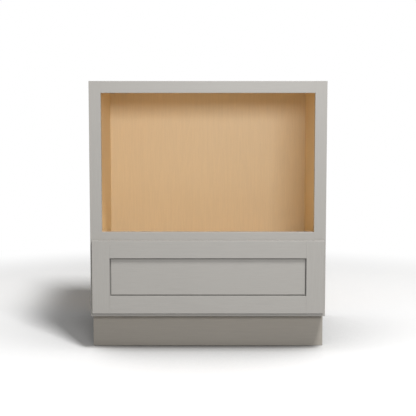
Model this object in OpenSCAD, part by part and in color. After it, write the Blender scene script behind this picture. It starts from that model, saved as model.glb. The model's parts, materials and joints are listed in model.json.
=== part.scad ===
// Base cabinet for a microwave oven: an open bay above one drawer on concealed telescopic slides.
// X runs across the front, Y from the front to the wall, and Z up from the floor.
// The origin lies on the floor, at the middle of the footprint with the drawer shut.

/* [Cabinet] */
// Width over the two side panels
cab_w = 762; // [610:0.1:915]
// Height from the floor to the top of the face frame
cab_h = 876.3; // [730:0.1:1052]
// Depth from the front of the face frame to the wall
cab_d = 609.6; // [508:0.1:732]
// Thickness of the side panels
side_t = 19.05; // [15:0.05:22]
// Thickness of the deck under the drawer
deck_t = 12.7; // [9:0.1:19]
// Thickness of the shelf that carries the oven
shelf_t = 15.9; // [12:0.1:25]
// Thickness of the top panel
top_t = 12.7; // [9:0.1:19]
// Thickness of the back panel
back_t = 6.35; // [4:0.05:9]
// Depth of the dados that hold the panels in the sides
dado_d = 6.35; // [4:0.05:8]
// Thickness of the nailing rails behind the back panel
rail_t = 12.7; // [9:0.1:19]
// Height of the nailing rails
rail_h = 88.9; // [60:0.1:110]
// Height of the cleats under the shelf
cleat_h = 38.1; // [20:0.1:50]
// Distance of the countertop screw holes from the edges of the top panel
top_hole_inset = 76.2; // [40:0.1:120]
// Radius of the countertop screw holes
top_hole_r = 2.5; // [2:0.1:4]

/* [Face frame and toe kick] */
// Thickness of the face frame
frame_t = 19.05; // [17:0.05:25]
// Width of the stiles
stile_w = 38.1; // [32:0.1:50]
// Height of the top rail
top_rail_h = 38.1; // [30:0.1:60]
// Height of the middle rail
mid_rail_h = 92.1; // [75:0.1:110]
// Height of the bottom rail
bottom_rail_h = 38.1; // [30:0.1:50]
// Height of the drawer opening between the bottom and the middle rail
drawer_open_h = 146; // [120:0.1:180]
// Height of the toe space
toe_h = 114.3; // [90:0.1:135]
// Distance of the toe board behind the front of the face frame
toe_recess = 76.2; // [50:0.1:92]
// Thickness of the toe board
toe_t = 12.7; // [9:0.1:19]

/* [Drawer front] */
// Thickness of the drawer front's frame
front_t = 19.05; // [17:0.05:22]
// Width of its stiles and rails
member_w = 57.15; // [48:0.05:70]
// Depth of the panel's face behind the frame's face
panel_recess = 9.5; // [6:0.1:10]
// Width of the shadow groove round the panel
groove_w = 4; // [2:0.1:6]
// Depth of the shadow groove
groove_d = 3; // [1:0.1:4]
// Reveal of face frame at each side of the front
side_reveal = 6.35; // [3:0.05:12]
// Reveal of bottom rail under the front
low_reveal = 12.7; // [6:0.1:20]
// Reveal of middle rail over the front
top_reveal = 25.4; // [12:0.1:40]
// Thickness of the bumpers between the front and the face frame
bumper_t = 1.6; // [1:0.1:3]

/* [Drawer box] */
// Thickness of the four boards of the box
board_t = 15.9; // [13:0.1:18]
// Thickness of the drawer's bottom
bottom_t = 6.35; // [5:0.05:9]
// Depth of the bottom's grooves in the boards
bottom_groove = 6.35; // [4:0.05:8]
// Height of the bottom over the lower edges of the boards
bottom_recess = 12.7; // [11:0.1:16]
// Gap between the box and the edge of the opening, at each side
box_side_gap = 4.75; // [4:0.05:8]
// Gap under the box
box_lift = 14.3; // [13:0.1:20]
// Gap over the box
box_top_gap = 11.1; // [7:0.1:20]
// Gap between the box and the back panel
box_back_gap = 58.75; // [45:0.05:90]
// Dovetails in each corner
tail_n = 5; // [3:1:7]
// Slope of the dovetails' flanks
tail_angle = 9; // [6:0.5:12]

/* [Slides] */
// Gap between the drawer's rail and the side of the box
slide_side_gap = 6.5; // [5:0.1:10]
// Thickness of the steel sheet
steel_t = 1.2; // [1:0.1:1.5]
// Diameter of the bearing balls
ball_d = 4; // [3.5:0.1:4.5]
// Distance of each ball row from the middle of its slide
ball_u = 17; // [15:0.1:17.5]
// Balls in each row
ball_n = 5; // [3:1:7]
// Height of the lower ball row over the slide's underside
low_row = 7; // [6.5:0.1:7.5]
// Drop of the upper ball row under the slide's top
high_row_drop = 7.9; // [7.5:0.1:8.5]
// Height of the flange that is screwed to the face frame
flange_h = 30; // [26:0.1:34]
// Part of the rail's length that the drawer doesn't travel
travel_loss = 13; // [8:0.1:40]

/* [Hidden] */
$fn = 48;

paint = [0.70, 0.68, 0.66];
maple = [0.84, 0.70, 0.52];
birch = [0.90, 0.79, 0.62];
steel = [0.76, 0.77, 0.79];
grey_plastic = [0.36, 0.37, 0.39];
orange_plastic = [0.86, 0.42, 0.12];
clear_rubber = [0.86, 0.87, 0.88];

// Clearances
fit_gap = 0.1;          // round tongues, tenons and dovetails
race_gap = 0.3;         // between a ball and its races
pocket_gap = 0.25;      // between a ball and its cage
screw_gap = 0.15;       // between a screw and its hole
pin_gap = 0.05;         // between a lever and its pin
cut = 1;                // how far a cut runs past a face

// Planes of the cabinet, from the side inwards, the front back and the floor up
half_w = cab_w / 2;
inner_x = half_w - side_t;
opening_x = half_w - stile_w;
total_d = cab_d + bumper_t + front_t;
front_y = -total_d / 2;
front_back_y = front_y + front_t;
frame_y = front_back_y + bumper_t;
carcass_y = frame_y + frame_t;
toe_y = frame_y + toe_recess;
wall_y = total_d / 2;
rails_y = wall_y - rail_t;
panel_y = rails_y - back_t;
deck_top = toe_h + bottom_rail_h;
deck_z = deck_top - deck_t;
open_top = deck_top + drawer_open_h;
shelf_top = open_top + shelf_t;
mid_top = open_top + mid_rail_h;
bay_top = cab_h - top_rail_h;
top_z = cab_h - top_t;

// Face-frame joints
tenon_l = 12.7;
tenon_t = frame_t / 3;
tenon_shoulder = 6.35;

// Drawer front
front_x = half_w - side_reveal;
front_z = toe_h + low_reveal;
front_top = mid_top - top_reveal;
field_x = front_x - member_w;
field_z = front_z + member_w;
field_top = front_top - member_w;
tongue_l = 8;
tongue_t = 5;
tongue_set = 1;
tongue_y = front_y + panel_recess + tongue_set;
bumper_r = 5;
bumper_inset = 22;
bumper_x = front_x - bumper_inset;
bumper_zs = [(front_z + deck_top) / 2, (open_top + front_top) / 2];

// Drawer box
box_x = opening_x - box_side_gap;
box_in_x = box_x - board_t;
box_z = deck_top + box_lift;
box_top = open_top - box_top_gap;
box_h = box_top - box_z;
box_y = front_back_y;
box_in_y = box_y + board_t;
box_back_y = panel_y - box_back_gap;
box_in_back_y = box_back_y - board_t;
bottom_z = box_z + bottom_recess;
bottom_top = bottom_z + bottom_t;
tail_pitch = box_h / tail_n;
tail_neck = tail_pitch / 2;
tail_flare = board_t * tan(tail_angle);
front_screw_inset = 60;
front_screw_edge = 22;
front_screw_x = box_in_x - front_screw_inset;
front_screw_xs = [-front_screw_x, front_screw_x];
front_screw_zs = [bottom_top + front_screw_edge, box_top - front_screw_edge];

// Slides: u runs outwards from the middle of the slide and w up from its underside
ball_r = ball_d / 2;
race_r = ball_r + race_gap + steel_t / 2;
rail_half = ball_u + race_r + steel_t / 2;
slide_x = box_in_x - slide_side_gap - rail_half;
slide_lift = 0.6;
slide_z = deck_top + slide_lift;
slide_h = bottom_z - slide_z;
high_row = slide_h - high_row_drop;
race_half = 60;
race_out_u = ball_u + race_r * cos(race_half);
race_in_u = ball_u - race_r * cos(race_half);
cage_space = 1.6;
cage_t = 0.9;
base_w = steel_t / 2;
mid_base_w = steel_t + cage_space + steel_t / 2;
web_w = slide_h - steel_t / 2;
cage_low_w = steel_t + cage_space / 2;
cage_high_w = slide_h - cage_low_w;
cage_reach = 3;
runner_set = 2;
runner_short = 7.5;
runner_y = box_in_y + runner_set;
runner_end = box_back_y - runner_short;
runner_l = runner_end - runner_y;
travel = runner_l - travel_loss;
fixed_set = 3;
fixed_extra = 22;
fixed_y = frame_y + fixed_set;
fixed_end = runner_end + fixed_extra;
flange_u = opening_x - slide_x - steel_t / 2;
cage_margin = 3;
cage_y = runner_y + travel / 4 + cage_margin;
cage_end = runner_end - travel / 4 - cage_margin;
ball_pitch = (cage_end - cage_y) / ball_n;
notch_gap = 1.5;
notch_half = rail_half + notch_gap;
flange_screw_y = frame_y + frame_t / 2;
flange_screw_ws = [9, 22];

// Rear brackets
bracket_half = 27;
bracket_h = 42;
plate_t = 3;
gusset_drop = 6;
prong_half = 15.5;
prong_top = 9;
prong_in = 18;
bracket_screw_us = [-21, 21];
bracket_screw_w = 30;

// Locks: placed from the middle of the slide, like the rails
lock_gap = 1;
lock_out_u = -rail_half - lock_gap;
lock_in_u = -60;
lock_l = 40;
lock_plate_t = 3;
pivot_u = -29;
pivot_set = 9;
pivot_y = runner_y + pivot_set;
pivot_r = 3;
pin_l = 8;
hub_r = 6.5;
lever_t = 6.5;
arm_t = 4;
tooth_l = 14;
tooth_bite = 1.9;
tooth_y = pivot_y + tooth_l;
tooth_u = tooth_bite - rail_half;
slot_gap = 2;
slot_half = arm_t / 2 + slot_gap;
lever_top = bottom_z - lock_plate_t - race_gap;
grip_u = -59;
grip_r = 4.5;
lock_screw_us = [-55, -41];
lock_screw_z = box_z + (bottom_recess - lock_plate_t) / 2;

// Screws
head_r = 4;
head_h = 1.5;
shank_r = 1.9;
front_screw_l = 23;
flange_screw_l = 15;
bracket_screw_l = 14;
lock_screw_l = 12;

// ---- helpers ----

// A box between two corners
module span(a, b) {
    translate(a) cube(b - a);
}

// Whatever is drawn for the right, on the chosen side: 1 is right and -1 is left
module on_side(side) {
    if (side > 0) children();
    else mirror([1, 0, 0]) children();
}

// A profile drawn in u and w, swept along Y at the right-hand slide
module slide_sweep(y0, y1) {
    translate([slide_x, y1, slide_z]) rotate([90, 0, 0]) linear_extrude(y1 - y0) children();
}

function unit(v) = v / norm(v);
function left_of(v) = [-v[1], v[0]];
function arc(c, r, a0, a1, n = 6) = [
    for (i = [0:n]) c + r * [cos(a0 + (a1 - a0) * i / n), sin(a0 + (a1 - a0) * i / n)]
];
function before(path, i) = left_of(unit(path[max(i, 1)] - path[max(i, 1) - 1]));
function after(path, i) = before(path, min(i + 1, len(path) - 1));
function mitre(path, i) = let (a = before(path, i), b = after(path, i)) (a + b) / (1 + a * b);
// The outline of a bent sheet of thickness t along the middle line path
function sheet(path, t) = let (last = len(path) - 1) concat(
    [for (i = [0:last]) path[i] + mitre(path, i) * t / 2],
    [for (i = [last:-1:0]) path[i] - mitre(path, i) * t / 2]
);
function mirrored(path) = [for (i = [len(path) - 1:-1:0]) [-path[i][0], path[i][1]]];

// A pan-head screw along +Z with its head's underside at 0
module screw(l) {
    translate([0, 0, -head_h]) cylinder(r = head_r, h = head_h);
    cylinder(r = shank_r, h = l);
}

// The hole for such a screw
module screw_hole(l) {
    translate([0, 0, -cut]) cylinder(r = shank_r + screw_gap, h = l + cut + screw_gap);
}

// ---- carcass ----

module side_panel(side) {
    on_side(side) color(paint) difference() {
        span([inner_x, carcass_y, 0], [half_w, wall_y, cab_h]);
        span([inner_x - cut, carcass_y - cut, -cut], [half_w + cut, toe_y + toe_t, toe_h]);
        span([inner_x - cut, carcass_y - cut, deck_z], [inner_x + dado_d, panel_y + cut, deck_top]);
        span([inner_x - cut, carcass_y - cut, open_top], [inner_x + dado_d, panel_y + cut, shelf_top]);
        span([inner_x - cut, carcass_y - cut, top_z], [inner_x + dado_d, panel_y + cut, cab_h + cut]);
        span([inner_x - cut, panel_y, deck_z], [inner_x + dado_d, rails_y, cab_h + cut]);
    }
}
module side_panel_left() side_panel(-1);
module side_panel_right() side_panel(1);

// A panel let into both sides, from the face frame to the back panel
module let_in(z0, z1) {
    x = inner_x + dado_d - fit_gap;
    span([-x, carcass_y, z0], [x, panel_y, z1]);
}

module deck() {
    color(maple) let_in(deck_z, deck_top);
}
module shelf() {
    color(maple) let_in(open_top, shelf_top);
}
module shelf_cleat(side) {
    on_side(side) color(maple)
        span([opening_x, carcass_y, open_top - cleat_h], [inner_x, panel_y, open_top]);
}
module shelf_cleat_left() shelf_cleat(-1);
module shelf_cleat_right() shelf_cleat(1);
module top_panel() {
    hole_x = inner_x - top_hole_inset;
    color(maple) difference() {
        let_in(top_z, cab_h);
        for (x = [-hole_x, hole_x], y = [carcass_y + top_hole_inset, panel_y - top_hole_inset])
            translate([x, y, top_z - cut]) cylinder(r = top_hole_r, h = top_t + 2 * cut);
    }
}
module back_panel() {
    x = inner_x + dado_d - fit_gap;
    color(maple) difference() {
        span([-x, panel_y, deck_z], [x, rails_y, cab_h]);
        bracket_screw_holes();
    }
}
module back_rail(z0) {
    span([-inner_x, rails_y, z0], [inner_x, wall_y, z0 + rail_h]);
}
module back_rail_top() {
    color(birch) back_rail(cab_h - rail_h);
}
module back_rail_middle() {
    color(birch) back_rail(open_top);
}
module back_rail_bottom() {
    color(birch) difference() {
        back_rail(toe_h);
        bracket_screw_holes();
    }
}
module toe_board() {
    color(paint) span([-half_w, toe_y, 0], [half_w, toe_y + toe_t, toe_h]);
}

// ---- face frame ----

// A rail's tenon, or with a gap the mortise for it
module tenon(z0, z1, gap) {
    y = frame_y + (frame_t - tenon_t) / 2;
    span([opening_x - cut, y - gap, z0 + tenon_shoulder - gap],
         [opening_x + tenon_l + gap, y + tenon_t + gap, z1 - tenon_shoulder + gap]);
}
module frame_rail(z0, z1) {
    color(paint) {
        span([-opening_x, frame_y, z0], [opening_x, carcass_y, z1]);
        for (side = [-1, 1]) on_side(side) tenon(z0, z1, 0);
    }
}
module frame_stile(side) {
    on_side(side) color(paint) difference() {
        span([opening_x, frame_y, toe_h], [half_w, carcass_y, cab_h]);
        tenon(toe_h, deck_top, fit_gap);
        tenon(open_top, mid_top, fit_gap);
        tenon(bay_top, cab_h, fit_gap);
        flange_screw_holes();
    }
}
module frame_stile_left() frame_stile(-1);
module frame_stile_right() frame_stile(1);
module frame_top_rail() frame_rail(bay_top, cab_h);
module frame_middle_rail() frame_rail(open_top, mid_top);
module frame_bottom_rail() frame_rail(toe_h, deck_top);

// ---- drawer front: a frame of four pieces round a panel ----

// The tongue on the panel and the rails, or with a gap its groove
module front_tongue(x, z0, z1, gap) {
    span([-x - gap, tongue_y - gap, z0 - gap], [x + gap, tongue_y + tongue_t + gap, z1 + gap]);
}
module front_stile(side) {
    on_side(side) color(paint) difference() {
        span([field_x, front_y, front_z], [front_x, front_back_y, front_top]);
        front_tongue(field_x + tongue_l, front_z - cut, front_top + cut, fit_gap);
    }
}
module front_rail(z0, z1) {
    color(paint) difference() {
        union() {
            span([-field_x, front_y, z0], [field_x, front_back_y, z1]);
            front_tongue(field_x + tongue_l, z0, z1, 0);
        }
        front_tongue(field_x + tongue_l + cut, field_z - tongue_l, field_top + tongue_l, fit_gap);
    }
}
module front_stile_left() front_stile(-1);
module front_stile_right() front_stile(1);
module front_rail_top() front_rail(field_top, front_top);
module front_rail_bottom() front_rail(front_z, field_z);
module front_panel() {
    face_y = front_y + panel_recess;
    color(paint) difference() {
        union() {
            span([-field_x, face_y, field_z], [field_x, front_back_y, field_top]);
            front_tongue(field_x + tongue_l, field_z - tongue_l, field_top + tongue_l, 0);
        }
        difference() {
            span([-field_x, face_y - cut, field_z], [field_x, face_y + groove_d, field_top]);
            span([-field_x + groove_w, face_y - 2 * cut, field_z + groove_w],
                 [field_x - groove_w, face_y + groove_d + cut, field_top - groove_w]);
        }
        front_screw_places() screw_hole(front_screw_l);
    }
}
module front_bumpers() {
    color(clear_rubber) for (x = [-bumper_x, bumper_x], z = bumper_zs)
        translate([x, frame_y, z]) rotate([90, 0, 0]) cylinder(r = bumper_r, h = bumper_t);
}

// The screws run forwards from inside the box into the drawer front
module front_screw_places() {
    for (x = front_screw_xs, z = front_screw_zs)
        translate([x, box_in_y, z]) rotate([90, 0, 0]) children();
}
module front_screws() {
    color(steel) front_screw_places() screw(front_screw_l);
}

// ---- drawer box: dovetailed corners and a bottom held in grooves ----

// The tails of the right-hand side at its front end, or with a gap their sockets
module tails(gap) {
    for (i = [0:tail_n - 1]) {
        mid = box_z + (i + 0.5) * tail_pitch;
        narrow = tail_neck / 2 + gap;
        wide = narrow + tail_flare;
        translate([box_in_x - gap, 0, 0]) rotate([90, 0, 90]) linear_extrude(board_t + 2 * gap)
            polygon([[box_in_y, mid - narrow], [box_in_y, mid + narrow],
                     [box_y - gap, mid + wide], [box_y - gap, mid - wide]]);
    }
}
// The same tails turned end for end, at the back of the box
module back_tails(gap) {
    translate([0, box_y + box_back_y, 0]) mirror([0, 1, 0]) tails(gap);
}
// The bottom, or with a gap the grooves that hold it
module bottom_shape(gap) {
    x = box_in_x + bottom_groove - fit_gap + gap;
    span([-x, box_in_y - bottom_groove + fit_gap - gap, bottom_z - gap],
         [x, box_in_back_y + bottom_groove - fit_gap + gap, bottom_top + gap]);
}
module drawer_side(side) {
    on_side(side) color(birch) difference() {
        union() {
            span([box_in_x, box_in_y, box_z], [box_x, box_in_back_y, box_top]);
            tails(0);
            back_tails(0);
        }
        bottom_shape(fit_gap);
    }
}
module drawer_side_left() drawer_side(-1);
module drawer_side_right() drawer_side(1);
module drawer_box_front() {
    color(birch) difference() {
        span([-box_x, box_y, box_z], [box_x, box_in_y, box_top]);
        for (side = [-1, 1]) on_side(side) tails(fit_gap);
        bottom_shape(fit_gap);
        front_screw_places() screw_hole(front_screw_l);
        lock_screw_holes();
    }
}
// The back is notched over the slides, which run out under it
module drawer_box_back() {
    color(birch) difference() {
        span([-box_x, box_in_back_y, box_z], [box_x, box_back_y, box_top]);
        for (side = [-1, 1]) on_side(side) {
            back_tails(fit_gap);
            span([slide_x - notch_half, box_in_back_y - cut, box_z - cut],
                 [slide_x + notch_half, box_back_y + cut, bottom_z]);
        }
        bottom_shape(fit_gap);
    }
}
module drawer_bottom() {
    color(maple) bottom_shape(0);
}

// ---- slides: three nested rails with a caged row of balls at each side ----

// The sheet's middle line where it wraps the right-hand ball of a row
function race(w, a0, a1) = arc([ball_u, w], race_r, a0, a1);

module cabinet_rail(side) {
    right = concat([[race_out_u, base_w]], race(low_row, -race_half, race_half));
    foot = [[flange_u, flange_h], [flange_u, base_w], [race_out_u, base_w]];
    on_side(side) color(steel) difference() {
        union() {
            slide_sweep(fixed_y, fixed_end) polygon(sheet(concat(mirrored(right), right), steel_t));
            slide_sweep(fixed_y, fixed_end) polygon(sheet(foot, steel_t));
        }
        flange_screw_holes();
    }
}
module slide_left_cabinet_rail() cabinet_rail(-1);
module slide_right_cabinet_rail() cabinet_rail(1);

module middle_rail(side) {
    right = concat([[race_in_u, mid_base_w]],
                   race(low_row, 180 + race_half, 180 - race_half),
                   race(high_row, 180 + race_half, 180 - race_half));
    on_side(side) color(steel) slide_sweep(runner_y, runner_end)
        polygon(sheet(concat(mirrored(right), right), steel_t));
}
module slide_left_middle_rail() middle_rail(-1);
module slide_right_middle_rail() middle_rail(1);

// The drawer rail has a slot in its inner wall for the tooth of the lock
module drawer_rail(side) {
    right = concat([[race_out_u, web_w]], race(high_row, race_half, -race_half));
    on_side(side) color(steel) difference() {
        slide_sweep(runner_y, runner_end) polygon(sheet(concat(mirrored(right), right), steel_t));
        span([slide_x - rail_half - cut, tooth_y - slot_half, lever_top - lever_t - slot_gap],
             [slide_x - ball_u + ball_r, tooth_y + slot_half, bottom_z - lock_plate_t]);
    }
}
module slide_left_drawer_rail() drawer_rail(-1);
module slide_right_drawer_rail() drawer_rail(1);

// A cage is a bent strip with the balls loose in its pockets
module ball_places(row) {
    for (u = [-ball_u, ball_u], i = [0:ball_n - 1])
        translate([slide_x + u, cage_y + (i + 0.5) * ball_pitch, slide_z + row]) children();
}
module cage(side, row, web, reach) {
    strip = [[-ball_u, row + reach], [-ball_u, web], [ball_u, web], [ball_u, row + reach]];
    on_side(side) {
        color(grey_plastic) difference() {
            slide_sweep(cage_y, cage_end) polygon(sheet(strip, cage_t));
            ball_places(row) rotate([0, 90, 0])
                cylinder(r = ball_r + pocket_gap, h = 2 * cage_t, center = true);
        }
        color(steel) ball_places(row) sphere(r = ball_r);
    }
}
module slide_left_lower_cage() cage(-1, low_row, cage_low_w, cage_reach);
module slide_right_lower_cage() cage(1, low_row, cage_low_w, cage_reach);
module slide_left_upper_cage() cage(-1, high_row, cage_high_w, -cage_reach);
module slide_right_upper_cage() cage(1, high_row, cage_high_w, -cage_reach);

// A bracket on the back panel holds the rail's rear end on a prong between two gussets
module rear_bracket(side) {
    on_side(side) color(grey_plastic) difference() {
        union() {
            span([slide_x - bracket_half, panel_y - plate_t, slide_z],
                 [slide_x + bracket_half, panel_y, slide_z + bracket_h]);
            span([slide_x - prong_half, fixed_end - prong_in, slide_z + steel_t],
                 [slide_x + prong_half, panel_y, slide_z + prong_top]);
            span([slide_x - prong_half, fixed_end, slide_z],
                 [slide_x + prong_half, panel_y, slide_z + prong_top]);
            for (u = [-prong_half, prong_half - plate_t])
                translate([slide_x + u, 0, slide_z]) rotate([90, 0, 90]) linear_extrude(plate_t)
                    polygon([[panel_y, 0], [panel_y, bracket_h - gusset_drop],
                             [fixed_end, prong_top], [fixed_end, 0]]);
        }
        span([slide_x - prong_half + plate_t, fixed_end + plate_t, slide_z - cut],
             [slide_x + prong_half - plate_t, panel_y - plate_t, slide_z + prong_top - plate_t]);
        bracket_screw_holes();
    }
}
module slide_left_rear_bracket() rear_bracket(-1);
module slide_right_rear_bracket() rear_bracket(1);

module flange_screw_places() {
    for (w = flange_screw_ws)
        translate([opening_x - steel_t, flange_screw_y, slide_z + w]) rotate([0, 90, 0]) children();
}
module flange_screw_holes() {
    flange_screw_places() screw_hole(flange_screw_l);
}
module bracket_screw_places() {
    for (u = bracket_screw_us)
        translate([slide_x + u, panel_y - plate_t, slide_z + bracket_screw_w]) rotate([-90, 0, 0])
            children();
}
module bracket_screw_holes() {
    for (side = [-1, 1]) on_side(side) bracket_screw_places() screw_hole(bracket_screw_l);
}
module slide_screws() {
    color(steel) for (side = [-1, 1]) on_side(side) {
        flange_screw_places() screw(flange_screw_l);
        bracket_screw_places() screw(bracket_screw_l);
    }
}

// ---- locks: a lever's tooth ties each drawer rail to the box, and squeezing the lever frees it ----

module lock_body(side) {
    on_side(side) color(grey_plastic) difference() {
        union() {
            span([slide_x + lock_in_u, box_in_y, bottom_z - lock_plate_t],
                 [slide_x + lock_out_u, box_in_y + lock_l, bottom_z]);
            span([slide_x + lock_in_u, box_in_y, box_z],
                 [slide_x + lock_out_u, box_in_y + lock_plate_t, bottom_z]);
            translate([slide_x + pivot_u, pivot_y, bottom_z - lock_plate_t - pin_l])
                cylinder(r = pivot_r, h = pin_l);
        }
        lock_screw_places() screw_hole(lock_screw_l);
    }
}
module lock_left_body() lock_body(-1);
module lock_right_body() lock_body(1);

module lock_lever(side) {
    at = [pivot_u, pivot_y];
    grip = [grip_u, tooth_y];
    on_side(side) color(orange_plastic)
        translate([slide_x, 0, lever_top - lever_t]) difference() {
            union() {
                translate(at) cylinder(r = hub_r, h = lever_t);
                linear_extrude(lever_t)
                    polygon(sheet([at, [pivot_u, tooth_y], [tooth_u, tooth_y]], arm_t));
                linear_extrude(lever_t) polygon(sheet([at, grip], arm_t));
                translate(grip) cylinder(r = grip_r, h = lever_t);
            }
            translate([pivot_u, pivot_y, -cut]) cylinder(r = pivot_r + pin_gap, h = lever_t + 2 * cut);
        }
}
module lock_left_lever() lock_lever(-1);
module lock_right_lever() lock_lever(1);

module lock_screw_places() {
    for (u = lock_screw_us)
        translate([slide_x + u, box_in_y + lock_plate_t, lock_screw_z]) rotate([90, 0, 0]) children();
}
module lock_screw_holes() {
    for (side = [-1, 1]) on_side(side) lock_screw_places() screw_hole(lock_screw_l);
}
module lock_screws() {
    color(steel) for (side = [-1, 1]) on_side(side)
        lock_screw_places() screw(lock_screw_l);
}

// ---- the whole cabinet, or one node of it ----

side_panel_left();
side_panel_right();
deck();
shelf();
shelf_cleat_left();
shelf_cleat_right();
top_panel();
back_panel();
back_rail_top();
back_rail_middle();
back_rail_bottom();
toe_board();
frame_stile_left();
frame_stile_right();
frame_top_rail();
frame_middle_rail();
frame_bottom_rail();
front_stile_left();
front_stile_right();
front_rail_top();
front_rail_bottom();
front_panel();
front_bumpers();
front_screws();
drawer_side_left();
drawer_side_right();
drawer_box_front();
drawer_box_back();
drawer_bottom();
slide_left_cabinet_rail();
slide_right_cabinet_rail();
slide_left_middle_rail();
slide_right_middle_rail();
slide_left_drawer_rail();
slide_right_drawer_rail();
slide_left_lower_cage();
slide_right_lower_cage();
slide_left_upper_cage();
slide_right_upper_cage();
slide_left_rear_bracket();
slide_right_rear_bracket();
slide_screws();
lock_left_body();
lock_right_body();
lock_left_lever();
lock_right_lever();
lock_screws();
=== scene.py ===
"""Looks of the microwave cabinet: a painted face-frame cabinet with a maple bay and one drawer."""
import json
from math import radians

import bmesh
import bpy
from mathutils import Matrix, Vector

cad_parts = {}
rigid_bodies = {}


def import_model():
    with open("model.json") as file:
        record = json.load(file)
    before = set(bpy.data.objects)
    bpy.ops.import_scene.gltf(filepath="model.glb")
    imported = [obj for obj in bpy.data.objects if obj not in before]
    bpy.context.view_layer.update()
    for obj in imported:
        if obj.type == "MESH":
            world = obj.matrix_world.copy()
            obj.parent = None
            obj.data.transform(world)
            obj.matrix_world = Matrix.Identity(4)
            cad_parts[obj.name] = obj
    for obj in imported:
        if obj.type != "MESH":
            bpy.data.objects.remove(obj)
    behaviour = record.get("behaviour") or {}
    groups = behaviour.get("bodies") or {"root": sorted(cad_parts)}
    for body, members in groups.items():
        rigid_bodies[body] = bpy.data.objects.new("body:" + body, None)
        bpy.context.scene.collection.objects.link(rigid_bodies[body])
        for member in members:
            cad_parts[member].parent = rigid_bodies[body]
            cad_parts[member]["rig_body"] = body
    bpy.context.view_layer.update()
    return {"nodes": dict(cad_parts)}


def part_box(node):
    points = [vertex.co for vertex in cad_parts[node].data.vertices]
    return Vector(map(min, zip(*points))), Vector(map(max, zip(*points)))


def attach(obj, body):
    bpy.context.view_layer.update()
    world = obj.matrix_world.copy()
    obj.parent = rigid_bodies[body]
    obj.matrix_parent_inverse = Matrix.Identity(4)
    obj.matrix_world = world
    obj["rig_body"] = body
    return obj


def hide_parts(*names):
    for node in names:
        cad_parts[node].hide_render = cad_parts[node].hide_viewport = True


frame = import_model()
nodes = frame["nodes"]
MM = 0.001
SIDES = ("left", "right")
AXES = {"x": 0, "y": 1, "z": 2}
# Places this near are the same place, doubles lie within WELD, and a flat face turns less than FLAT.
CLOSE, WELD, FLAT = 0.05 * MM, 2e-6, radians(0.3)
# An edge that turns more than this is an arris.
SHARP = radians(60)
# The sockets of a Mix node that hold its two colours and its resulting colour.
MIX_A, MIX_B, MIX_RESULT = 6, 7, 2


# ---- node graphs ----

class Wire:
    """One value in a node graph, for plain arithmetic."""

    def __init__(self, graph, node, socket):
        self.graph, self.node, self.socket = graph, node, socket

    def pick(self, name):
        return Wire(self.graph, self.node, self.node.outputs[name])

    def __add__(self, other):
        return self.graph.maths("ADD", self, other)

    def __radd__(self, other):
        return self.graph.maths("ADD", other, self)

    def __sub__(self, other):
        return self.graph.maths("SUBTRACT", self, other)

    def __rsub__(self, other):
        return self.graph.maths("SUBTRACT", other, self)

    def __mul__(self, other):
        return self.graph.maths("MULTIPLY", self, other)

    def __rmul__(self, other):
        return self.graph.maths("MULTIPLY", other, self)

    def __truediv__(self, other):
        return self.graph.maths("DIVIDE", self, other)

    def __rtruediv__(self, other):
        return self.graph.maths("DIVIDE", other, self)

    def __pow__(self, other):
        return self.graph.maths("POWER", self, other)


class Graph:
    """A node tree that is built by calls: shader or geometry."""

    def __init__(self, tree):
        self.tree = tree

    def node(self, kind, inputs=None, out=0, **settings):
        """A new node with its settings, which come first, and its sockets' values or links."""
        made = self.tree.nodes.new(kind)
        for name, value in settings.items():
            setattr(made, name, value)
        for key, value in (inputs or {}).items():
            several = value if isinstance(value, list) else [value]
            for one in several:
                if isinstance(one, Wire):
                    self.tree.links.new(one.socket, made.inputs[key])
                else:
                    made.inputs[key].default_value = one
        return Wire(self, made, made.outputs[out] if len(made.outputs) else None)

    def maths(self, operation, *values):
        return self.node("ShaderNodeMath", dict(enumerate(values)), operation=operation)

    def vector(self, operation, *values, out=0):
        return self.node("ShaderNodeVectorMath", dict(enumerate(values)), out, operation=operation)

    def blend(self, factor, a, b, mode="MIX"):
        """A colour between a and b, or b laid on a in another mode."""
        return self.node("ShaderNodeMix", {0: factor, MIX_A: a, MIX_B: b}, MIX_RESULT,
                         data_type="RGBA", blend_type=mode)

    def rise(self, value, start, end):
        """0 before start, 1 after end and smooth between them."""
        return self.node("ShaderNodeMapRange", {"Value": value, "From Min": start, "From Max": end},
                         interpolation_type="SMOOTHSTEP")

    def noise(self, place, scale, detail=2, rough=0.5, bend=0.0):
        return self.node("ShaderNodeTexNoise", {
            "Vector": place, "Scale": scale, "Detail": detail, "Roughness": rough, "Distortion": bend})

    def place(self):
        return self.node("ShaderNodeTexCoord", out="Object")

    def along(self, axis, stretch):
        """The place on the piece in millimetres, drawn out along one axis."""
        scale = [1000, 1000, 1000]
        scale[AXES[axis]] = 1000 / stretch
        return self.vector("MULTIPLY", self.place(), tuple(scale))

    def bump(self, height, distance, strength):
        return self.node("ShaderNodeBump", {"Height": height, "Distance": distance, "Strength": strength})


def material(name, slot, build, **constants):
    """A procedural finish. build(graph) returns what its Principled sockets take."""
    made = bpy.data.materials.new(name)
    made.use_nodes = True
    made["slot"] = slot
    graph = Graph(made.node_tree)
    shader = made.node_tree.nodes["Principled BSDF"]
    for key, value in constants.items():
        shader.inputs[key.replace("_", " ")].default_value = value
    for key, wire in build(graph).items():
        made.node_tree.links.new(wire.socket, shader.inputs[key])
    return made


def srgb(r, g, b):
    """A colour from its 8-bit values."""
    return tuple((v / 255 / 12.92) if v < 11 else ((v / 255 + 0.055) / 1.055) ** 2.4 for v in (r, g, b))


def tone(colour, share):
    """A share of a colour, opaque."""
    return (*(v * share for v in colour), 1)


# ---- finishes ----

PAINT = srgb(166, 163, 158)
# Painted shade: the recessed toe board's paint is darker and warmer than PAINT.
TOE_SHADED_PAINT = srgb(163, 157, 148)
MAPLE = srgb(245, 221, 180)
BIRCH = srgb(232, 205, 165)
STEEL = srgb(205, 208, 212)


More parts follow.
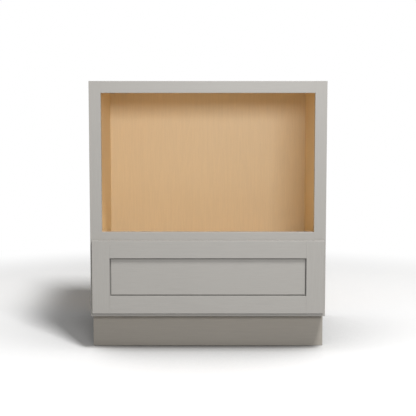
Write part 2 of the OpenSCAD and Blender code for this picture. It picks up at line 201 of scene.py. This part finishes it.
def paint(axis, share=1.0, name="paint", shade=PAINT):
    """Satin paint through which the grain along one axis barely shows."""
    def build(g):
        fibre = g.noise(g.along(axis, 60), 0.9, 3, 0.6)
        cloud = g.noise(g.place(), 3.2, 2)
        spray = g.noise(g.along(axis, 1), 0.8, 2)
        colour = g.blend(g.rise(fibre * 0.8 + cloud * 0.2, 0.34, 0.66), tone(shade, 0.96 * share),
                         tone(shade, 1.03 * share))
        return {
            "Base Color": colour,
            "Roughness": 0.40 + 0.10 * cloud + 0.05 * spray,
            "Normal": g.bump(fibre * 0.6 + spray * 0.4, 0.00006, 0.5),
        }
    return material(f"{name}_along_{axis}", "painted_wood", build, Coat_Weight=0.08, Coat_Roughness=0.3)


def veneer(name, slot, colour, axis, figure=1.0):
    """Lacquered veneer or board with its grain along one axis."""
    def build(g):
        sway = g.noise(g.along(axis, 6), 0.004, 2)
        rings = g.noise(g.along(axis, 22), 0.045, 3, 0.55, 0.4)
        bands = g.maths("SINE", (rings + sway * 0.6) * 46)
        pores = g.noise(g.along(axis, 26), 0.9, 2, 0.7)
        fleck = g.rise(g.noise(g.along(axis, 5), 0.55, 1), 0.66, 0.78)
        cloud = g.noise(g.place(), 2.4, 2)
        wood = g.blend((bands * 0.5 + 0.5) * (0.6 * figure), tone(colour, 1.02), tone(colour, 0.95))
        wood = g.blend(g.rise(pores, 0.50, 0.75) * (0.5 * figure), wood, tone(colour, 0.88))
        wood = g.blend(fleck * (0.4 * figure), wood, tone(colour, 1.05))
        warm = g.blend(g.rise(cloud, 0.35, 0.65) * 0.4, wood, (1.02, 0.985, 0.955, 1), "MULTIPLY")
        return {
            "Base Color": warm,
            "Roughness": 0.42 + pores * 0.14,
            "Normal": g.bump(pores * 0.7 + rings * 0.3, 0.00008, 0.45),
        }
    return material(name, slot, build, Coat_Weight=0.12, Coat_Roughness=0.22)


def end_grain(name, slot, colour, axis):
    """Sawn across the grain: short arcs and pores seen end on."""
    def build(g):
        across = g.along(axis, 0.2)
        rings = g.node("ShaderNodeTexWave", {
            "Vector": across, "Scale": 0.12, "Distortion": 6, "Detail": 2, "Detail Scale": 0.06}, 1,
            bands_direction="Z", wave_profile="SIN")
        pores = g.noise(across, 1.6, 2, 0.7)
        mixed = g.blend(rings * 0.6, tone(colour, 0.80), tone(colour, 0.66))
        return {
            "Base Color": g.blend(g.rise(pores, 0.45, 0.7) * 0.6, mixed, tone(colour, 0.52)),
            "Roughness": 0.58 + pores * 0.2,
            "Normal": g.bump(pores, 0.0001, 0.6),
        }
    return material(name, slot, build)


def plies(name, axis, low, high, layers):
    """The edge of plywood, whose layers lie across one axis between two heights."""
    def build(g):
        depth = g.node("ShaderNodeSeparateXYZ", {0: g.place()}, AXES[axis])
        wander = g.noise(g.along(axis, 0.4), 0.05, 2) - 0.5
        layer = (depth - low) / (high - low) * layers + wander * 0.12
        odd = g.maths("PINGPONG", layer, 1.0)
        fibre = g.noise(g.along(axis, 0.3), 1.1, 3, 0.7)
        cross = g.rise(odd, 0.44, 0.56)
        glue = 1 - g.rise(g.maths("ABSOLUTE", odd - 0.5), 0.03, 0.09)
        wood = g.blend(cross, tone(MAPLE, 0.94), tone(MAPLE, 0.66))
        wood = g.blend(g.rise(fibre, 0.4, 0.72) * 0.45, wood, tone(MAPLE, 0.55))
        return {
            "Base Color": g.blend(glue * 0.75, wood, tone(MAPLE, 0.34)),
            "Roughness": 0.55 + fibre * 0.25,
            "Normal": g.bump(fibre * 0.6 + cross * 0.4, 0.00015, 0.6),
        }
    return material(name, "maple_plywood", build)


def sheet_metal(name, axis, colour, rough):
    """Plated steel with fine rolling lines along one axis and a faint spangle."""
    def build(g):
        lines = g.noise(g.along(axis, 40), 3.0, 2, 0.6)
        spangle = g.node("ShaderNodeTexVoronoi", {"Vector": g.along(axis, 1), "Scale": 0.16}, "Color")
        patch = g.node("ShaderNodeSeparateColor", {0: spangle})
        return {
            "Base Color": g.blend(patch * 0.5 + lines * 0.3, tone(colour, 0.82), tone(colour, 1.0)),
            "Roughness": rough + patch * 0.08 + lines * 0.08,
            "Normal": g.bump(lines, 0.00003, 0.35),
        }
    return material(name, "zinc_steel", build, Metallic=1.0)


def moulded(name, slot, colour, rough=0.42, **constants):
    """Moulded plastic with a fine spark-eroded skin."""
    def build(g):
        skin = g.noise(g.along("x", 1), 2.6, 2, 0.6)
        flow = g.noise(g.place(), 30, 2)
        return {
            "Base Color": g.blend(flow * 0.6 + skin * 0.25, tone(colour, 0.88), tone(colour, 1.08)),
            "Roughness": rough + skin * 0.14,
            "Normal": g.bump(skin, 0.00005, 0.5),
        }
    return material(name, slot, build, **constants)


paint_by_axis = {axis: paint(axis) for axis in "xyz"}
# Painted shade: the groove round the panel takes this paint at half its tone.
groove_painted_shade = paint("x", 0.5, "groove_painted_shade")
# Painted shade: the toe board takes the darker, warmer paint that stands in for its recess's shade.
toe_shaded_paint = paint("x", 1.0, "toe_shaded_paint", TOE_SHADED_PAINT)
maple_by_axis = {axis: veneer(f"maple_along_{axis}", "maple_plywood", MAPLE, axis, 0.7) for axis in "xyz"}
birch_by_axis = {axis: veneer(f"birch_along_{axis}", "birch", BIRCH, axis, 1.2) for axis in "xyz"}
birch_ends = {axis: end_grain(f"birch_end_{axis}", "birch", BIRCH, axis) for axis in "xyz"}
rolled_steel = sheet_metal("rolled_zinc_steel", "y", STEEL, 0.26)
screw_steel = sheet_metal("screw_zinc_steel", "x", srgb(196, 196, 192), 0.22)
ball_steel = sheet_metal("polished_ball_steel", "x", srgb(220, 222, 226), 0.06)
grey_plastic = moulded("grey_plastic", "grey_plastic", srgb(108, 111, 115))
cage_plastic = moulded("cage_plastic", "grey_plastic", srgb(150, 152, 150), 0.5)
orange_plastic = moulded("orange_plastic", "orange_plastic", srgb(216, 112, 34), 0.36)
clear_rubber = moulded("clear_rubber", "clear_rubber", srgb(232, 234, 236), 0.2,
                       Transmission_Weight=0.75, IOR=1.45)


# ---- eased copies of the CAD's boards ----

def merged(node):
    """A CAD node as a clean mesh: doubles merged and flat faces whole."""
    bm = bmesh.new()
    bm.from_mesh(nodes[node].data)
    bmesh.ops.remove_doubles(bm, verts=bm.verts, dist=WELD)
    bmesh.ops.dissolve_limit(bm, angle_limit=FLAT, verts=bm.verts, edges=bm.edges)
    return bm


def linked(start):
    """Every vertex that edges join to this one, and itself."""
    group, todo = {start}, [start]
    while todo:
        vertex = todo.pop()
        near = {edge.other_vert(vertex) for edge in vertex.link_edges} - group
        group |= near
        todo += near
    return group


def islands(node):
    """The separate solids of a CAD node, each as its two corners, in the order of its vertices."""
    bm = merged(node)
    seen, found = set(), []
    for start in bm.verts:
        if start in seen:
            continue
        group = linked(start)
        seen |= group
        corners = [[f(v.co[i] for v in group) for i in range(3)] for f in (min, max)]
        found.append((Vector(corners[0]), Vector(corners[1])))
    bm.free()
    return found


def show(piece, body, *replaced):
    """Let a piece ride on its body and the CAD nodes that it stands for."""
    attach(piece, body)
    if replaced:
        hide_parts(*replaced)
    return piece


def finished(name, mesh):
    """An object that carries this mesh, in the scene and at the origin."""
    piece = bpy.data.objects.new(name, mesh)
    bpy.context.scene.collection.objects.link(piece)
    return piece


def one_finish(mesh, finish):
    """The same finish on every face."""
    mesh.materials.clear()
    mesh.materials.append(finish)
    for face in mesh.polygons:
        face.material_index = 0


def apply_modifiers(piece):
    """Make the modifiers' result the piece's own plain mesh."""
    graph = bpy.context.evaluated_depsgraph_get()
    mesh = bpy.data.meshes.new_from_object(piece.evaluated_get(graph))
    piece.modifiers.clear()
    piece.data = mesh
    return piece


def eased(node, width, share, faces, cuts=(), segments=3):
    """An eased copy of a CAD board, in its place.

    share(middle) gives each edge its part of the width, faces(normal, centre) each face its
    material, and cuts are the planes that split the edges first."""
    bm = merged(node)
    for axis, place in cuts:
        normal, point = Vector(), Vector()
        normal[AXES[axis]], point[AXES[axis]] = 1, place
        bmesh.ops.bisect_plane(bm, geom=[*bm.verts, *bm.edges, *bm.faces], plane_co=point, plane_no=normal)
    weight = bm.edges.layers.float.new("bevel_weight_edge")
    for edge in bm.edges:
        if edge.is_convex and edge.calc_face_angle(0) > SHARP:
            a, b = (v.co for v in edge.verts)
            edge[weight] = share((a + b) / 2)
    mesh = bpy.data.meshes.new(node)
    bm.to_mesh(mesh)
    bm.free()
    piece = finished(f"{node}_piece", mesh)
    bevel = piece.modifiers.new("ease", "BEVEL")
    bevel.width, bevel.segments, bevel.limit_method = width, segments, "WEIGHT"
    apply_modifiers(piece)
    chosen = [faces(face.normal, face.center) for face in piece.data.polygons]
    finishes = list(dict.fromkeys(chosen))
    piece.data.materials.clear()
    for finish in finishes:
        piece.data.materials.append(finish)
    for face, finish in zip(piece.data.polygons, chosen):
        face.material_index = finishes.index(finish)
    return show(piece, nodes[node]["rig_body"], node)


def at(value, *places):
    """Whether a value is one of these places."""
    return any(abs(value - place) < CLOSE for place in places)


# ---- face frame and painted front ----

# How far the arrises are eased.
FRAME_EASE, FRONT_EASE, PANEL_EASE, TOE_EASE, BOX_EASE = 1.0 * MM, 1.3 * MM, 0.3 * MM, 0.8 * MM, 1.2 * MM
# The part of it that a joint's edges get, and the inner arrises of the front.
FRAME_JOINT, FRONT_JOINT, BOX_JOINT, FRONT_INNER = 0.12, 0.1, 0.1, 0.45

frame_lo, frame_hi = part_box("frame_stile_left")
rails = {name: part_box(f"frame_{name}_rail") for name in ("top", "middle", "bottom")}
opening_x = -frame_hi.x
rail_levels = [("z", level) for lo, hi in rails.values() for level in (lo.z, hi.z)]


def frame_share(middle):
    """Only the front's arrises are eased, and not where a rail meets a stile."""
    if not at(middle.y, frame_lo.y):
        return 0
    joint = at(abs(middle.x), opening_x) and any(lo.z < middle.z < hi.z for lo, hi in rails.values())
    return FRAME_JOINT if joint else 1


for node in [n for n in nodes if n.startswith("frame_")]:
    axis = "z" if "stile" in node else "x"
    eased(node, FRAME_EASE, frame_share, lambda normal, centre: paint_by_axis[axis],
          rail_levels if "stile" in node else ())

front_lo, front_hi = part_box("front_stile_left")
outer_x, field_x = -front_lo.x, -front_hi.x
field_lo, field_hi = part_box("front_rail_bottom")[1].z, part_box("front_rail_top")[0].z


def front_share(middle):
    """The front's outer arrises are rounded, its inner ones softened and its joints kept tight."""
    outer = at(abs(middle.x), outer_x) or at(middle.z, front_lo.z, front_hi.z)
    if not at(middle.y, front_lo.y):
        return 1 if at(middle.y, front_hi.y) and outer else 0
    if outer:
        return 1
    joint = at(abs(middle.x), field_x) and not field_lo < middle.z < field_hi
    return FRONT_JOINT if joint else FRONT_INNER


for node in [n for n in nodes if n.startswith(("front_stile", "front_rail"))]:
    axis = "z" if "stile" in node else "x"
    eased(node, FRONT_EASE, front_share, lambda normal, centre: paint_by_axis[axis],
          [("z", field_lo), ("z", field_hi)] if "stile" in node else ())

panel_face = min(face.center.y for face in nodes["front_panel"].data.polygons)
GROOVE_DEEP = 3.2 * MM


def panel_finish(normal, centre):
    """The groove round the panel takes paint at half its tone: painted shade for the recess."""
    in_shaded_groove = panel_face + CLOSE < centre.y < panel_face + GROOVE_DEEP
    return groove_painted_shade if in_shaded_groove else paint_by_axis["x"]


eased("front_panel", PANEL_EASE, lambda middle: at(middle.y, panel_face), panel_finish)
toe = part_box("toe_board")
# The toe board takes the paint that holds painted shade.
eased("toe_board", TOE_EASE, lambda middle: at(middle.y, toe[0].y),
      lambda normal, centre: toe_shaded_paint)


# ---- carcass ----

# How squarely a face looks across a board's thickness, or along its grain, to take that finish.
FACE_ON, SAWN_ON = 0.7, 0.8


def plywood(node, thick, grain, layers, width=0.3 * MM, outside=None):
    """A plywood board: veneer on both faces, or paint outside, and its plies along the edges."""
    lo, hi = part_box(node)
    k = AXES[thick]
    edge = plies(f"{node}_plies", thick, lo[k], hi[k], layers)

    def faces(normal, centre):
        if abs(normal[k]) < FACE_ON:
            return edge
        if outside and normal[k] * (lo[k] + hi[k]) > 0:
            return outside
        return maple_by_axis[grain]
    eased(node, width, lambda middle: sum(at(middle[i], lo[i], hi[i]) for i in range(3)) >= 2,
          faces, segments=2)


for side in SIDES:
    plywood(f"side_panel_{side}", "x", "z", layers=13, outside=paint_by_axis["z"])
    plywood(f"shelf_cleat_{side}", "x", "y", layers=9)
plywood("deck", "z", "x", layers=9)
plywood("shelf", "z", "x", layers=11)
plywood("top_panel", "z", "x", layers=9)
plywood("back_panel", "y", "z", layers=5)


def solid_board(node, grain, width=0.5 * MM, soft=lambda middle: 1):
    """A board of solid birch with end grain where it is sawn across."""
    k = AXES[grain]
    eased(node, width, soft,
          lambda normal, centre: birch_ends[grain] if abs(normal[k]) > SAWN_ON else birch_by_axis[grain])


for place in ("top", "middle", "bottom"):
    solid_board(f"back_rail_{place}", "x")


# ---- drawer box ----

box_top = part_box("drawer_side_left")[1].z


def box_edge(middle):
    """The upper arrises are rounded, and the joints stay tight."""
    return 1 if at(middle.z, box_top) else BOX_JOINT


for side in SIDES:
    solid_board(f"drawer_side_{side}", "y", BOX_EASE, box_edge)
for place in ("front", "back"):
    solid_board(f"drawer_box_{place}", "x", BOX_EASE, box_edge)
plywood("drawer_bottom", "z", "x", layers=5)


# ---- what repeats: screws and bearing balls ----

def repeated(name, points, attributes, build, sizes, finish, body, *replaced):
    """A piece that Geometry Nodes place at each point; build(graph, inputs, points) makes one."""
    mesh = bpy.data.meshes.new(name)
    mesh.from_pydata(points, [], [])
    for key, (kind, values) in attributes.items():
        layer = mesh.attributes.new(key, kind, "POINT")
        for item, value in zip(layer.data, values):
            if kind == "FLOAT":
                item.value = value
            else:
                item.vector = value
    piece = finished(name, mesh)
    tree = bpy.data.node_groups.new(name, "GeometryNodeTree")
    face = tree.interface
    face.new_socket("Points", in_out="INPUT", socket_type="NodeSocketGeometry")
    face.new_socket("Result", in_out="OUTPUT", socket_type="NodeSocketGeometry")
    sockets = {key: face.new_socket(key, in_out="INPUT", socket_type="NodeSocketFloat") for key in sizes}
    graph = Graph(tree)
    entry = graph.node("NodeGroupInput")
    inputs = {key: entry.pick(key) for key in sizes}
    shapes = build(graph, inputs, entry.pick("Points"))
    real = graph.node("GeometryNodeRealizeInstances", {0: shapes})
    smooth = graph.node("GeometryNodeSetShadeSmooth", {0: real, 2: False})
    done = graph.node("GeometryNodeSetMaterial", {0: smooth})
    done.node.inputs["Material"].default_value = finish
    graph.node("NodeGroupOutput", {0: done})
    modifier = piece.modifiers.new("repeat", "NODES")
    modifier.node_group = tree
    for key, value in sizes.items():
        modifier[sockets[key].identifier] = value
    apply_modifiers(piece)
    one_finish(piece.data, finish)
    return show(piece, body, *replaced)


def put(graph, shape, points, turn, scale=(1, 1, 1)):
    """The shape at each point, turned and scaled there."""
    return graph.node("GeometryNodeInstanceOnPoints", {
        "Points": points, "Instance": shape, "Rotation": turn, "Scale": scale})


def moved(graph, shape, shift=(0, 0, 0), scale=(1, 1, 1)):
    """A shape scaled about the origin, then shifted."""
    return graph.node("GeometryNodeTransform", {"Geometry": shape, "Translation": shift, "Scale": scale})


def joined(graph, *shapes):
    """Several shapes as one."""
    return graph.node("GeometryNodeJoinGeometry", {0: list(shapes)})


def box_of(graph, x, y, z):
    """A box of this size, centred."""
    size = graph.node("ShaderNodeCombineXYZ", {0: x, 1: y, 2: z})
    return graph.node("GeometryNodeMeshCube", {"Size": size})


def screw_shapes(g, size, points):
    """A pan-head screw with a cross recess, a thread and a point, its head out along +Z."""
    turn = g.node("FunctionNodeAlignRotationToVector", {
        "Vector": g.node("GeometryNodeInputNamedAttribute", {"Name": "out"}, data_type="FLOAT_VECTOR")})
    length = g.node("GeometryNodeInputNamedAttribute", {"Name": "length"}, data_type="FLOAT")
    ball = g.node("GeometryNodeMeshUVSphere", {"Segments": 28, "Rings": 14, "Radius": 1.0})
    where = g.node("ShaderNodeSeparateXYZ", {0: g.node("GeometryNodeInputPosition")})
    up = g.maths("MAXIMUM", where.pick("Z"), 0.0)
    full = g.node("ShaderNodeCombineXYZ", {
        0: where.pick("X") * size["Head radius"], 1: where.pick("Y") * size["Head radius"],
        2: up ** 0.6 * size["Head height"]})
    dome = g.node("GeometryNodeSetPosition", {"Geometry": ball, "Position": full})
    arm = size["Head radius"] * 1.1
    slots = [moved(g, box_of(g, *xy, size["Head height"]),
                   g.node("ShaderNodeCombineXYZ", {2: size["Head height"] * 0.85}))
             for xy in ((arm, size["Slot width"]), (size["Slot width"], arm))]
    head = g.node("GeometryNodeMeshBoolean", {"Mesh 1": dome, "Mesh 2": slots}, operation="DIFFERENCE")
    body = g.node("GeometryNodeMeshCylinder", {"Vertices": 14, "Radius": size["Core radius"], "Depth": 0.8})
    tip = g.node("GeometryNodeMeshCone", {
        "Vertices": 14, "Radius Top": size["Core radius"], "Radius Bottom": 0.00015, "Depth": 0.2})
    spiral = g.node("GeometryNodeCurveSpiral", {
        "Resolution": 14, "Rotations": size["Turns"], "Start Radius": size["Thread radius"],
        "End Radius": size["Thread radius"] * 0.7, "Height": 0.86})
    ridge = g.node("GeometryNodeCurvePrimitiveCircle", {
        "Resolution": 3, "Radius": size["Core radius"] * 0.22})
    flat = g.node("GeometryNodeCurveToMesh", {"Curve": spiral, "Profile Curve": ridge})
    shank = joined(g, moved(g, body, (0, 0, -0.4)), moved(g, tip, (0, 0, -1.0)),
                   moved(g, flat, (0, 0, -0.06), (1, 1, -1)))
    long = g.node("ShaderNodeCombineXYZ", {0: 1.0, 1: 1.0, 2: length})
    return joined(g, put(g, head, points, turn), put(g, shank, points, turn, long))


HEAD_HEIGHT = 1.5 * MM
BACK, FORWARD = Vector((0, 1, 0)), Vector((0, -1, 0))
# A cage's balls are shorter than this, and its strip is longer.
BALL_MOST = 6 * MM


def screws(node, out_of):
    """Detailed screws where the CAD's are; out_of(lo, hi) says which way each head faces."""
    points, ways, lengths = [], [], []
    for lo, hi in islands(node):
        way = out_of(lo, hi)
        k = max(range(3), key=lambda i: abs(way[i]))
        head = (lo + hi) / 2
        head[k] = (hi if way[k] > 0 else lo)[k] - way[k] * HEAD_HEIGHT
        points.append(head)
        ways.append(way)
        lengths.append(hi[k] - lo[k] - HEAD_HEIGHT)
    sizes = {"Head radius": 4 * MM, "Head height": HEAD_HEIGHT, "Slot width": 0.9 * MM,
             "Core radius": 1.55 * MM, "Thread radius": 1.6 * MM, "Turns": 9.0}
    repeated(f"{node}_piece", points, {"out": ("FLOAT_VECTOR", ways), "length": ("FLOAT", lengths)},
             screw_shapes, sizes, screw_steel, nodes[node]["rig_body"], node)


def slide_screw_way(lo, hi):
    """The bracket's screws face the front, and the flange's face the middle of the cabinet."""
    if hi.y - lo.y > hi.x - lo.x:
        return FORWARD
    return Vector((-1 if lo.x > 0 else 1, 0, 0))


screws("front_screws", lambda lo, hi: BACK)
screws("lock_screws", lambda lo, hi: BACK)
screws("slide_screws", slide_screw_way)


def balls(node):
    """The bearing balls of one cage, as polished steel."""
    corners = [(lo, hi) for lo, hi in islands(node) if hi.y - lo.y < BALL_MOST]
    radius = (corners[0][1].y - corners[0][0].y) / 2

    def build(g, sizes, points):
        ball = g.node("GeometryNodeMeshUVSphere", {"Segments": 24, "Rings": 12, "Radius": sizes["Radius"]})
        return put(g, ball, points, (0, 0, 0))
    return repeated(f"{node}_balls", [(lo + hi) / 2 for lo, hi in corners], {}, build,
                    {"Radius": radius}, ball_steel, nodes[node]["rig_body"])


def cage_strip(node):
    """The cage's bent strip, without the balls that the CAD node holds too."""
    bm = merged(node)
    strip = linked(max(bm.verts, key=lambda v: v.co.y))
    bmesh.ops.delete(bm, geom=[v for v in bm.verts if v not in strip], context="VERTS")
    mesh = bpy.data.meshes.new(node)
    bm.to_mesh(mesh)
    bm.free()
    one_finish(mesh, cage_plastic)
    return show(finished(f"{node}_strip", mesh), nodes[node]["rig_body"], node)


def dress(node, finish):
    """A CAD node that keeps its shape and takes a better finish."""
    nodes[node].data.materials.clear()
    nodes[node].data.materials.append(finish)


for side in SIDES:
    for row in ("lower", "upper"):
        cage_strip(f"slide_{side}_{row}_cage")
        balls(f"slide_{side}_{row}_cage")
    for rail in ("cabinet", "middle", "drawer"):
        dress(f"slide_{side}_{rail}_rail", rolled_steel)
    dress(f"slide_{side}_rear_bracket", grey_plastic)
    dress(f"lock_{side}_body", grey_plastic)
    dress(f"lock_{side}_lever", orange_plastic)
dress("front_bumpers", clear_rubber)


# ---- floor, light and camera ----

# How far the floor and its painted contact shade reach, and where the floor runs out into white.
FLOOR_REACH, CONTACT_REACH, WHITE_FROM = 30, 1.2, (1.4, 2.1)
# The floor's level for the light that it throws back, and as the camera sees it.
FLOOR_BOUNCE, FLOOR_SEEN = 0.45, 1.38
# The world's strength and the lamps' powers in watts.
WORLD, FRONT_POWER, HIGH_POWER, SIDE_POWER = 0.135, 71.0, 348.0, 57.0
MIDDLE, SIDE_SPREAD = (0, 0, 0.5), 3.2
# The camera's place, how many degrees it looks down, and its lens and sensor in millimetres.
CAMERA_BACK, CAMERA_HEIGHT, CAMERA_DOWN = 3.9836, 0.875, 6.278
LENS, SENSOR = 99.61, 36


def stage_floor():
    """A pale floor that keeps the cabinet's shadow and runs out into white."""
    mesh = bpy.data.meshes.new("floor")
    reach = FLOOR_REACH
    mesh.from_pydata([(-reach, -reach, 0), (reach, -reach, 0), (reach, reach, 0), (-reach, reach, 0)], [],
                     [(0, 1, 2, 3)])
    floor = finished("floor", mesh)
    finish = bpy.data.materials.new("floor_white")
    finish.use_nodes = True
    g = Graph(finish.node_tree)
    finish.node_tree.nodes.clear()
    seen = g.node("ShaderNodeLightPath", out="Is Camera Ray")
    # Painted contact shade: ambient occlusion darkens the floor's colour, as the camera sees it, near the
    # cabinet.
    near = g.node("ShaderNodeAmbientOcclusion", {"Distance": CONTACT_REACH}, "AO", samples=16)
    level = g.blend(seen, (FLOOR_BOUNCE,) * 3 + (1,), near * FLOOR_SEEN)
    matt = g.node("ShaderNodeBsdfDiffuse", {"Color": level})
    white = g.node("ShaderNodeEmission", {"Color": (1, 1, 1, 1), "Strength": 1.0})
    away = g.vector("LENGTH", g.vector("MULTIPLY", g.place(), (1, 1, 0)), out="Value")
    far = g.rise(away, *WHITE_FROM) * seen
    g.node("ShaderNodeOutputMaterial", {0: g.node("ShaderNodeMixShader", {0: far, 1: matt, 2: white})})
    mesh.materials.append(finish)
    return floor


def lamp(name, place, aim, wide, high, power, not_on=None):
    """A rectangular softbox that looks at a point.

    One that only fills the shade leaves a stage object unlit and makes no highlight."""
    light = bpy.data.lights.new(name, "AREA")
    light.shape, light.size, light.size_y, light.energy = "RECTANGLE", wide, high, power
    made = bpy.data.objects.new(name, light)
    made.location = place
    made.rotation_euler = (Vector(aim) - Vector(place)).to_track_quat("-Z", "Y").to_euler()
    bpy.context.scene.collection.objects.link(made)
    if not_on:
        made.visible_glossy = False
        unlit = bpy.data.collections.new(f"{name}_unlit")
        unlit.objects.link(not_on)
        made.light_linking.receiver_collection = unlit
        unlit.collection_objects[0].light_linking.link_state = "EXCLUDE"


def stage_world(strength):
    """Soft even light all round, which the camera and reflections see as white."""
    world = bpy.data.worlds.new("studio")
    bpy.context.scene.world = world
    world.use_nodes = True
    g = Graph(world.node_tree)
    world.node_tree.nodes.clear()
    path = g.node("ShaderNodeLightPath")
    seen = g.maths("MAXIMUM", path.pick("Is Camera Ray"), g.maths(
        "MAXIMUM", path.pick("Is Glossy Ray"), path.pick("Is Transmission Ray")))
    level = strength + seen * (1 - strength)
    white = g.node("ShaderNodeBackground", {"Color": (1, 1, 1, 1), "Strength": level})
    g.node("ShaderNodeOutputWorld", {0: white})


stage_world(WORLD)
floor = stage_floor()
lamp("front_softbox", (0.5, -4.53, 1.37), (0, 0, 0.6), wide=1.3, high=0.5, power=FRONT_POWER)
lamp("high_softbox", (1.38, -3.5, 5.9), MIDDLE, wide=1.0, high=2.0, power=HIGH_POWER)
for side, way in zip(SIDES, (-1, 1)):
    lamp(f"{side}_softbox", (way * SIDE_SPREAD, 2.0, 1.5), MIDDLE, wide=1.6, high=1.6,
         power=SIDE_POWER, not_on=floor)

camera = bpy.data.objects.new("camera", bpy.data.cameras.new("camera"))
camera.location = (0, -CAMERA_BACK, CAMERA_HEIGHT)
camera.rotation_euler = (radians(90 - CAMERA_DOWN), 0, 0)
camera.data.lens = LENS
camera.data.sensor_width = SENSOR
bpy.context.scene.collection.objects.link(camera)
bpy.context.scene.camera = camera
bpy.context.scene.view_settings.view_transform = "Standard"
